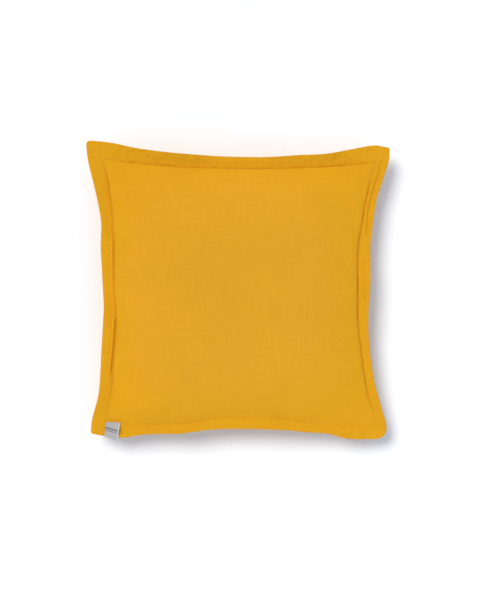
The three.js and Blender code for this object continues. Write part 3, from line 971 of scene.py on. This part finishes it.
def plain_weave_group():
    """Threads over and under each other, with uneven thickness and tone, in cloth coordinates."""
    group, nodes, source, result = new_group(
        "Plain weave",
        {"Cloth": None, "Threads a Metre": 1500.0, "Waver": 0.6},
        ("Height", "Tone", "Slubs"),
    )
    waver = nodes.add("ShaderNodeTexNoise", {"Vector": source["Cloth"], "Scale": WAVER_SCALE, "Detail": 1.0})
    offset = nodes.vector_math("SUBTRACT", waver.outputs["Color"], (0.5, 0.5, 0.5))
    counted = nodes.scale(source["Cloth"], source["Threads a Metre"])
    threads = nodes.vector_math("ADD", counted, nodes.scale(offset, source["Waver"]))
    waves = [nodes.math("SINE", nodes.math("MULTIPLY", way, math.pi)) for way in nodes.split(threads)[:2]]
    warp, weft = (nodes.math("ABSOLUTE", wave) for wave in waves)
    warp_over = nodes.math("GREATER_THAN", nodes.math("MULTIPLY", *waves), 0.0)
    over = nodes.math("MULTIPLY", warp, nodes.math("SQRT", weft))
    under = nodes.math("MULTIPLY", nodes.math("SQRT", warp), weft)
    nodes.feed(result["Height"], nodes.either(warp_over, under, over))
    tones = nodes.thread_noises(threads, TONE_STRETCH, 2.0)
    nodes.feed(result["Tone"], nodes.math("MULTIPLY", nodes.math("ADD", *tones), 0.5))
    thick = nodes.math("MAXIMUM", *nodes.thread_noises(threads, SLUB_STRETCH, 1.0))
    nodes.feed(result["Slubs"], nodes.between(thick, *SLUB_RANGE))
    return group


# How far above and below the seam the painted paler sheen of the crown begins.
CROWN_START = 0.004


def crown_sheen_group():
    """0 at the height of the seam and 1 from the reach above or below it: the mask of painted shade at the
    seam and of a painted paler sheen on the crown.
    """
    inputs = {"Place": None, "Seam Height": 0.052, "Reach": 0.075}
    group, nodes, source, result = new_group("Painted crown sheen", inputs, ("Mask",))
    height = nodes.split(source["Place"])[2]
    away = nodes.math("ABSOLUTE", nodes.math("SUBTRACT", height, source["Seam Height"]))
    nodes.feed(result["Mask"], nodes.between(away, CROWN_START, source["Reach"]))
    return group


# The share of the neps that lie the other way, and where one begins to fade and ends, from 0 to 1.
NEPS_ACROSS = 0.5
NEP_FADE = (0.1, 1.0)


def nep_group():
    """Scattered small knots of the yarn, each as long as a few threads and lying with the weave."""
    group, nodes, source, result = new_group(
        "Neps",
        {"Cloth": None, "Spacing": 0.04, "Share": 0.22, "Length": 0.0028, "Width": 0.0012},
        ("Mask",),
    )
    place = nodes.scale(source["Cloth"], nodes.math("DIVIDE", 1.0, source["Spacing"]))
    cells = nodes.add("ShaderNodeTexVoronoi", {"Vector": place, "Scale": 1.0}, voronoi_dimensions="2D")
    away = nodes.vector_math("SUBTRACT", place, cells.outputs["Position"])
    x, y, _ = nodes.split(nodes.scale(away, source["Spacing"]))
    chance = nodes.add("ShaderNodeSeparateColor", {0: cells.outputs["Color"]}).outputs
    turned = nodes.math("GREATER_THAN", chance[0], NEPS_ACROSS)
    shares = []
    for way, size in ((nodes.either(turned, x, y), "Length"), (nodes.either(turned, y, x), "Width")):
        shares.append(nodes.math("POWER", nodes.math("DIVIDE", way, source[size]), 2.0))
    inside = nodes.math("SUBTRACT", 1.0, nodes.between(nodes.math("ADD", *shares), *NEP_FADE))
    present = nodes.math("LESS_THAN", chance[1], source["Share"])
    nodes.feed(result["Mask"], nodes.math("MULTIPLY", inside, present))
    return group


# How much the crumples are bent out of round.
CRUMPLE_BEND = 0.3


def crumple_group():
    """Small soft crumples of cloth that nothing stretches, up and down from 0."""
    group, nodes, source, result = new_group("Crumples", {"Cloth": None, "Size": 0.014}, ("Height",))
    scale = nodes.math("DIVIDE", 1.0, source["Size"])
    noise = nodes.add("ShaderNodeTexNoise", {
        "Vector": source["Cloth"], "Scale": scale, "Detail": 0.0, "Distortion": CRUMPLE_BEND,
    })
    nodes.feed(result["Height"], nodes.math("SUBTRACT", noise.outputs[0], 0.5))
    return group


def mottle_group():
    """Slow unevenness of the dye over the whole piece."""
    group, nodes, source, result = new_group("Uneven dye", {"Place": None, "Patch Size": 0.05}, ("Tone",))
    scale = nodes.math("DIVIDE", 1.0, source["Patch Size"])
    noise = nodes.add("ShaderNodeTexNoise", {"Vector": source["Place"], "Scale": scale, "Detail": 3.0})
    nodes.feed(result["Tone"], noise.outputs[0])
    return group


def new_material(name, roughness):
    """A material with its nodes and its shader."""
    material = bpy.data.materials.new(name)
    material.use_nodes = True
    shader = material.node_tree.nodes["Principled BSDF"]
    shader.inputs["Roughness"].default_value = roughness
    return material, NodeTree(material.node_tree), shader


def scaled(colour, factor):
    """A colour made darker or paler."""
    return (*[min(channel * factor, 1.0) for channel in colour], 1.0)


# What makes a woven cloth: its roughness, how far the colours of its threads differ, how much they stand up,
# and how pale its thick places are.
Weave = namedtuple("Weave", "roughness contrast relief slubs")
LINEN = Weave(0.9, 0.05, 0.5, 0.35)
RIBBON = Weave(0.7, 0.08, 0.35, 0.0)

# What all woven cloth shares: where the noises of tone and dye begin and end, the colour of the thick
# places, the painted shade in the gaps between threads and where a gap ends, how far the dye differs, how
# high a thick place stands on its thread, how high a thread stands in metres, and how much rougher a gap is
# than the threads' tops.
TONE_RANGE = (0.3, 0.7)
SLUB_COLOUR = 1.35
GAP_SHADE_COLOUR = 0.62
GAP_RANGE = (0.0, 0.35)
DYE_SPREAD = 0.012
SLUB_HEIGHT = 0.8
THREAD_HEIGHT = 0.0002
GAP_ROUGHER = 0.06
TOP_SMOOTHER = 0.05


def woven_material(name, colour, thread, weave):
    """Woven cloth: the colour varies by thread, the gaps are painted darker for their shade and the threads
    stand up.
    """
    material, nodes, shader = new_material(name, weave.roughness)
    inputs = {"Cloth": nodes.cloth(), "Threads a Metre": 1.0 / thread}
    woven = nodes.group("Plain weave", plain_weave_group, inputs)
    dye = nodes.group("Uneven dye", mottle_group, {"Place": nodes.place()})
    tone = nodes.between(woven["Tone"], *TONE_RANGE)
    dark, pale = scaled(colour, 1 - weave.contrast), scaled(colour, 1 + weave.contrast)
    threads = nodes.blend("MIX", tone, dark, pale)
    thick = nodes.math("MULTIPLY", woven["Slubs"], weave.slubs)
    slubbed = nodes.blend("MIX", thick, threads, scaled(colour, SLUB_COLOUR))
    # Painted shade: the low places between the threads are darkened.
    gap = nodes.between(woven["Height"], *GAP_RANGE)
    gaps = nodes.blend("MIX", gap, scaled(colour, GAP_SHADE_COLOUR), slubbed)
    patch = nodes.between(dye["Tone"], *TONE_RANGE)
    shades = [(1 + way * DYE_SPREAD,) * 3 + (1.0,) for way in (-1, 1)]
    finished = nodes.blend("MULTIPLY", 1.0, gaps, nodes.blend("MIX", patch, *shades))
    nodes.feed(shader.inputs["Base Color"], finished)
    stand = nodes.math("ADD", woven["Height"], nodes.math("MULTIPLY", woven["Slubs"], SLUB_HEIGHT))
    bump = nodes.bump(Height=stand, Strength=weave.relief, Distance=THREAD_HEIGHT)
    nodes.feed(shader.inputs["Normal"], bump)
    rough = nodes.add("ShaderNodeMapRange", {
        "Value": woven["Height"],
        "To Min": weave.roughness + GAP_ROUGHER,
        "To Max": weave.roughness - TOP_SMOOTHER,
    })
    nodes.feed(shader.inputs["Roughness"], rough.outputs[0])
    return material, nodes, shader, finished


# The linen: its painted tints, a deeper orange for the shade and bounce light at the seam's height and a
# paler sheen on the crown, how much its knots show in a paler colour, how high its crumples are against the
# knots, the height of both in metres, and its soft sheen.
SEAM_SHADE_TINT = (1.0, 1.0, 0.7, 1.0)
CROWN_SHEEN_TINT = (1.0, 1.0, 1.4, 1.0)
PALE = 1.4
NEPS_SHOW = 0.45
CRUMPLE_HEIGHT = 3.5
KNOT_HEIGHT = 0.0005
LINEN_SHEEN = {"Sheen Weight": 0.08, "Sheen Roughness": 0.5, "Specular IOR Level": 0.06}


def linen_material(finish):
    """Dyed linen with pale knots, crumples where it is loose, painted shade at the seam's height and a
    painted paler sheen on the crown.
    """
    material, nodes, shader, colour = woven_material(
        "linen_cloth", finish.linen_colour, finish.linen_thread, LINEN
    )
    pale = scaled(finish.linen_colour, PALE)
    # Painted light: the mask tints the linen a deeper orange at the seam's height for the shade there, and
    # paler on the crown for a sheen.
    crown = nodes.group("Painted crown sheen", crown_sheen_group, {"Place": nodes.place()})
    colour = nodes.blend("MULTIPLY", 1.0, colour, nodes.blend("MIX", crown["Mask"], SEAM_SHADE_TINT, CROWN_SHEEN_TINT))
    cloth = nodes.cloth()
    neps = nodes.group("Neps", nep_group, {"Cloth": cloth})
    colour = nodes.blend("MIX", nodes.math("MULTIPLY", neps["Mask"], NEPS_SHOW), colour, pale)
    nodes.feed(shader.inputs["Base Color"], colour)
    crumples = nodes.group("Crumples", crumple_group, {"Cloth": cloth})
    loose = nodes.add("ShaderNodeAttribute", attribute_name="loose").outputs["Fac"]
    rumpled = nodes.math("MULTIPLY", nodes.math("MULTIPLY", crumples["Height"], loose), CRUMPLE_HEIGHT)
    height = nodes.math("ADD", rumpled, neps["Mask"])
    weave_bump = shader.inputs["Normal"].links[0].from_socket
    knots = nodes.bump(Height=height, Strength=1.0, Distance=KNOT_HEIGHT, Normal=weave_bump)
    nodes.feed(shader.inputs["Normal"], knots)
    nodes.feed(shader.inputs["Sheen Tint"], pale)
    for name, value in LINEN_SHEEN.items():
        nodes.feed(shader.inputs[name], value)
    return material


# The thread: its roughness, how its plies lean and wander, how much they count in its tone against the dye,
# its darkest and palest colour, and the plies' relief.
THREAD_ROUGHNESS = 0.65
PLY_LEAN = math.radians(40)
PLIES = {"Scale": 900.0, "Distortion": 0.4}
PLY_SHARE = 0.6
THREAD_COLOURS = (0.8, 1.15)
PLY_RELIEF = {"Strength": 0.4, "Distance": 0.0001}


def thread_material(finish):
    """Plied sewing thread: a fine slanted stripe along each stitch."""
    material, nodes, shader = new_material("sewing_thread", THREAD_ROUGHNESS)
    turned = nodes.add("ShaderNodeMapping", {"Vector": nodes.cloth(), "Rotation": (0.0, 0.0, PLY_LEAN)})
    plies = nodes.add("ShaderNodeTexWave", {"Vector": turned.outputs[0], **PLIES}).outputs["Fac"]
    dye = nodes.group("Uneven dye", mottle_group, {"Place": nodes.place()})
    by_ply = nodes.math("MULTIPLY", plies, PLY_SHARE)
    tones = nodes.math("ADD", by_ply, nodes.math("MULTIPLY", dye["Tone"], 1 - PLY_SHARE))
    dark, pale = (scaled(finish.thread_colour, factor) for factor in THREAD_COLOURS)
    nodes.feed(shader.inputs["Base Color"], nodes.blend("MIX", tones, dark, pale))
    nodes.feed(shader.inputs["Normal"], nodes.bump(Height=plies, **PLY_RELIEF))
    return material


# The ribbon in metres: the middle and half the width of each stripe, counted from the fold and below 0 on
# the face, between which shares of that half a stripe ends, where the selvedge on the curled-up last side
# begins, and its colour, pale and also a painted highlight where that side catches the light.
STRIPES = ((-0.0165, 0.0011), (-0.0125, 0.0006))
STRIPE_EDGE = (0.8, 1.2)
SELVEDGE = (0.0213, 0.022)
SELVEDGE_AND_HIGHLIGHT_COLOUR = 1.25


def ribbon_material(finish):
    """Close ribbon weave with a pale selvedge on its curled-up side, painted paler also as a highlight, and
    two plain woven stripes across it.
    """
    material, nodes, shader, colour = woven_material(
        "label_ribbon", finish.ribbon_colour, finish.ribbon_thread, RIBBON
    )
    across, along_ribbon, _ = nodes.split(nodes.cloth())
    for middle, half in STRIPES:
        away = nodes.math("ABSOLUTE", nodes.math("SUBTRACT", along_ribbon, middle))
        outside = nodes.between(away, half * STRIPE_EDGE[0], half * STRIPE_EDGE[1])
        colour = nodes.blend("MIX", outside, (*finish.stripe_colour, 1.0), colour)
    # Partly painted highlight: the selvedge on the curled-up last side is paler, as where it catches the
    # light.
    selvedge = nodes.between(across, *SELVEDGE)
    colour = nodes.blend("MIX", selvedge, colour, scaled(finish.ribbon_colour, SELVEDGE_AND_HIGHLIGHT_COLOUR))
    nodes.feed(shader.inputs["Base Color"], colour)
    return material


class CushionSizes(bpy.types.PropertyGroup):
    """Sizes of the stuffed body, its flange, its stitching and its label."""

    crown_height: FloatProperty(
        name="Crown height", description="Height of the middle of the face above the floor",
        default=0.14, min=0.05, max=0.25, unit="LENGTH",
    )
    stitch_height: FloatProperty(
        name="Stitch line height", description="Height of the stitch line at the middle of a side",
        default=0.058, min=0.02, max=0.1, unit="LENGTH",
    )
    pucker_reach: FloatProperty(
        name="Pucker reach", description="Distance from the stitch line where the cloth ripples most",
        default=0.0045, min=0.001, max=0.03, unit="LENGTH",
    )
    flange_ripple: FloatProperty(
        name="Flange ripple", description="Height of the ripples in the flange beside the stitching",
        default=0.00035, min=0.0, max=0.003, precision=5, unit="LENGTH",
    )
    body_ripple: FloatProperty(
        name="Body ripple", description="Depth of the ripples in the body beside the stitching",
        default=0.0006, min=0.0, max=0.003, precision=5, unit="LENGTH",
    )
    body_steps: IntProperty(
        name="Body steps", description="Number of grid steps across the body",
        default=144, min=24, max=200,
    )
    edge_crowding: FloatProperty(
        name="Edge crowding", description="How much finer the grid is beside the stitch line",
        default=0.92, min=0.0, max=0.98, subtype="FACTOR",
    )
    stitch_length: FloatProperty(
        name="Stitch length", description="Length of one stitch with its gap",
        default=0.0033, min=0.002, max=0.006, precision=4, unit="LENGTH",
    )
    thread_width: FloatProperty(
        name="Thread width", description="Thickness of the sewing thread",
        default=0.0005, min=0.0002, max=0.001, precision=5, unit="LENGTH",
    )
    stitch_across: FloatProperty(
        name="Stitch place", description="Where the thread lies between stitch line and edge",
        default=0.03, min=0.0, max=0.2, subtype="FACTOR",
    )
    label_thickness: FloatProperty(
        name="Label thickness", description="Thickness of the label's ribbon",
        default=0.0005, min=0.0002, max=0.002, precision=5, unit="LENGTH",
    )


class CushionFinish(bpy.types.PropertyGroup):
    """Colours and thread sizes of the cloth, the sewing thread and the ribbon."""

    linen_colour: FloatVectorProperty(
        name="Linen colour", description="Colour of the dyed linen",
        default=(0.712, 0.341, 0.0148), min=0.0, max=1.0, subtype="COLOR",
    )
    thread_colour: FloatVectorProperty(
        name="Thread colour", description="Colour of the sewing thread",
        default=(0.63, 0.295, 0.0135), min=0.0, max=1.0, subtype="COLOR",
    )
    ribbon_colour: FloatVectorProperty(
        name="Ribbon colour", description="Colour of the label's ribbon",
        default=(0.42, 0.41, 0.43), min=0.0, max=1.0, subtype="COLOR",
    )
    stripe_colour: FloatVectorProperty(
        name="Stripe colour", description="Colour of the two stripes woven into the ribbon",
        default=(0.12, 0.115, 0.12), min=0.0, max=1.0, subtype="COLOR",
    )
    linen_thread: FloatProperty(
        name="Linen thread", description="Distance from one linen thread to the next",
        default=0.00062, min=0.0002, max=0.002, precision=5, unit="LENGTH",
    )
    ribbon_thread: FloatProperty(
        name="Ribbon thread", description="Distance from one ribbon thread to the next",
        default=0.00035, min=0.0001, max=0.001, precision=5, unit="LENGTH",
    )


class StageSettings(bpy.types.PropertyGroup):
    """Floor, light and camera."""

    floor_colour: FloatVectorProperty(
        name="Floor colour", description="Colour of the plain floor",
        default=(0.887, 0.92, 0.975), min=0.0, max=1.0, subtype="COLOR",
    )
    sky_strength: FloatProperty(
        name="Sky strength", description="Brightness of the even light from all round",
        default=0.5, min=0.0, max=3.0,
    )
    sky_colour: FloatVectorProperty(
        name="Sky colour", description="Colour of the even light from all round",
        default=(0.9, 0.988, 1.115), min=0.0, max=2.0, subtype="COLOR",
    )
    key_strength: FloatProperty(
        name="Key strength", description="Brightness of the large soft light",
        default=2.2, min=0.0, max=20.0,
    )
    key_colour: FloatVectorProperty(
        name="Key colour", description="Colour of the large soft light",
        default=(1.09, 1.013, 0.885), min=0.0, max=2.0, subtype="COLOR",
    )
    key_height: FloatProperty(
        name="Key height", description="Angle of the large soft light above the floor",
        default=math.radians(55), min=0.1, max=1.5, subtype="ANGLE",
    )
    key_turn: FloatProperty(
        name="Key turn", description="Direction of the large soft light, from the right against the clock",
        default=math.radians(135), min=-math.tau, max=math.tau, subtype="ANGLE",
    )
    right_fill_strength: FloatProperty(
        name="Right fill strength", description="Brightness of the low light on the right",
        default=1.75, min=0.0, max=20.0,
    )
    front_fill_strength: FloatProperty(
        name="Front fill strength", description="Brightness of the low light in front",
        default=2.0, min=0.0, max=20.0,
    )
    fill_height: FloatProperty(
        name="Fill height", description="Angle of the two low lights above the floor",
        default=math.radians(3.5), min=0.02, max=1.5, subtype="ANGLE",
    )
    light_spread: FloatProperty(
        name="Light spread", description="How wide each light looks from the cushion",
        default=math.radians(30), min=0.01, max=2.0, subtype="ANGLE",
    )
    lens: FloatProperty(
        name="Lens", description="Focal length of the camera",
        default=0.085, min=0.02, max=0.3, unit="LENGTH",
    )


class PILLOWCASE_OT_cushion(bpy.types.Operator):
    """Build the stuffed linen body with its flange"""

    bl_idname = "pillowcase.cushion"
    bl_label = "Cushion"

    def execute(self, context):
        scene = context.scene
        make_cushion(scene.cushion_sizes, linen_material(scene.cushion_finish))
        return {"FINISHED"}


class PILLOWCASE_OT_topstitching(bpy.types.Operator):
    """Sew the stitches along the inside of the flange"""

    bl_idname = "pillowcase.topstitching"
    bl_label = "Topstitching"

    def execute(self, context):
        scene = context.scene
        make_topstitching(scene.cushion_sizes, thread_material(scene.cushion_finish))
        return {"FINISHED"}


class PILLOWCASE_OT_label(bpy.types.Operator):
    """Fold the ribbon label over the flange"""

    bl_idname = "pillowcase.label"
    bl_label = "Ribbon label"

    def execute(self, context):
        scene = context.scene
        make_label(scene.cushion_sizes, ribbon_material(scene.cushion_finish))
        return {"FINISHED"}


# The stage: the floor's width, roughness and gloss, the white that shows behind it, and the directions of
# the two low lights.
FLOOR_WIDTH = 8.0
FLOOR_ROUGHNESS = 0.9
FLOOR_GLOSS = 0.1
BACKDROP_COLOUR = (1.0, 1.0, 1.0, 1.0)
BACKDROP_STRENGTH = 1.0
FROM_RIGHT = 0.0
FROM_FRONT = -math.pi / 2

# The camera: where it looks, the long side of the picture there, its sensor in millimetres, and the nearest
# and furthest that it sees.
VIEW_CENTRE = (0.00335, -0.0153)
VIEW_HEIGHT = 0.05
VIEW_LONG_SIDE = 0.9709
SENSOR = 36.0
SEEN_FROM_TO = (0.05, 50.0)


def make_floor(scene, settings):
    """A plain pale square under the cushion."""
    half = FLOOR_WIDTH / 2
    corners = [(-half, -half, 0), (half, -half, 0), (half, half, 0), (-half, half, 0)]
    mesh = bpy.data.meshes.new("floor")
    mesh.from_pydata(corners, [], [(0, 1, 2, 3)])
    floor = bpy.data.objects.new("floor", mesh)
    scene.collection.objects.link(floor)
    material, _, shader = new_material("plain_floor", FLOOR_ROUGHNESS)
    shader.inputs["Base Color"].default_value = (*settings.floor_colour, 1.0)
    shader.inputs["Specular IOR Level"].default_value = FLOOR_GLOSS
    mesh.materials.append(material)


def make_light(scene, settings):
    """An even sky, one large soft light from behind on the left, and two low ones opposite."""
    world = bpy.data.worlds.new("even_sky")
    world.use_nodes = True
    nodes = NodeTree(world.node_tree)
    background = world.node_tree.nodes["Background"].inputs
    seen = nodes.add("ShaderNodeLightPath").outputs["Is Camera Ray"]
    colour = nodes.blend("MIX", seen, (*settings.sky_colour, 1.0), BACKDROP_COLOUR)
    nodes.feed(background["Color"], colour)
    nodes.feed(background["Strength"], nodes.either(seen, settings.sky_strength, BACKDROP_STRENGTH))
    scene.world = world
    low = settings.fill_height
    lights = (
        ("key_light", settings.key_strength, settings.key_height, settings.key_turn),
        ("right_fill", settings.right_fill_strength, low, FROM_RIGHT),
        ("front_fill", settings.front_fill_strength, low, FROM_FRONT),
    )
    for light in lights:
        add_far_light(scene, settings, *light)
    bpy.data.lights["key_light"].color = settings.key_colour


def add_far_light(scene, settings, name, strength, height, turn):
    """A light so far away that it falls the same way everywhere, from a height and a direction."""
    light = bpy.data.lights.new(name, "SUN")
    light.energy = strength
    light.angle = settings.light_spread
    made = bpy.data.objects.new(name, light)
    scene.collection.objects.link(made)
    flat = math.cos(height)
    away = Vector((flat * math.cos(turn), flat * math.sin(turn), math.sin(height)))
    made.location = away
    made.rotation_mode = "QUATERNION"
    made.rotation_quaternion = away.to_track_quat("Z", "Y")


def make_camera(scene, settings):
    """A camera straight above the cushion."""
    camera = bpy.data.cameras.new("camera")
    camera.sensor_width = SENSOR
    camera.lens = settings.lens / MM
    distance = camera.lens / SENSOR * VIEW_LONG_SIDE
    camera.clip_start, camera.clip_end = SEEN_FROM_TO
    made = bpy.data.objects.new("camera", camera)
    made.location = (*VIEW_CENTRE, VIEW_HEIGHT + distance)
    scene.collection.objects.link(made)
    scene.camera = made


class PILLOWCASE_OT_stage(bpy.types.Operator):
    """Set up the floor, the light and the camera"""

    bl_idname = "pillowcase.stage"
    bl_label = "Stage"

    def execute(self, context):
        scene = context.scene
        settings = scene.stage_settings
        make_floor(scene, settings)
        make_light(scene, settings)
        make_camera(scene, settings)
        scene.view_settings.view_transform = "Standard"
        scene.view_settings.look = "None"
        return {"FINISHED"}


class PILLOWCASE_PT_tools(bpy.types.Panel):
    """The steps of building the pillowcase"""

    bl_idname = "PILLOWCASE_PT_tools"
    bl_label = "Filled pillowcase"
    bl_space_type = "VIEW_3D"
    bl_region_type = "UI"
    bl_category = "Pillowcase"

    def draw(self, context):
        for operator in OPERATORS:
            self.layout.operator(operator.bl_idname)
        for settings, cls in SETTINGS.items():
            box = self.layout.box()
            for name in cls.__annotations__:
                box.prop(getattr(context.scene, settings), name)


OPERATORS = (
    PILLOWCASE_OT_cushion,
    PILLOWCASE_OT_topstitching,
    PILLOWCASE_OT_label,
    PILLOWCASE_OT_stage,
)
SETTINGS = {
    "cushion_sizes": CushionSizes,
    "cushion_finish": CushionFinish,
    "stage_settings": StageSettings,
}
CLASSES = (*SETTINGS.values(), *OPERATORS, PILLOWCASE_PT_tools)


def register():
    """Adds the classes and the scene's settings."""
    for cls in CLASSES:
        bpy.utils.register_class(cls)
    for name, cls in SETTINGS.items():
        setattr(bpy.types.Scene, name, PointerProperty(type=cls))


def unregister():
    """Takes the scene's settings and the classes away again."""
    for name in SETTINGS:
        delattr(bpy.types.Scene, name)
    for cls in reversed(CLASSES):
        bpy.utils.unregister_class(cls)


def main():
    """Builds everything in order."""
    register()
    bpy.ops.pillowcase.cushion()
    bpy.ops.pillowcase.topstitching()
    bpy.ops.pillowcase.label()
    bpy.ops.pillowcase.stage()


if __name__ == "__main__":
    main()
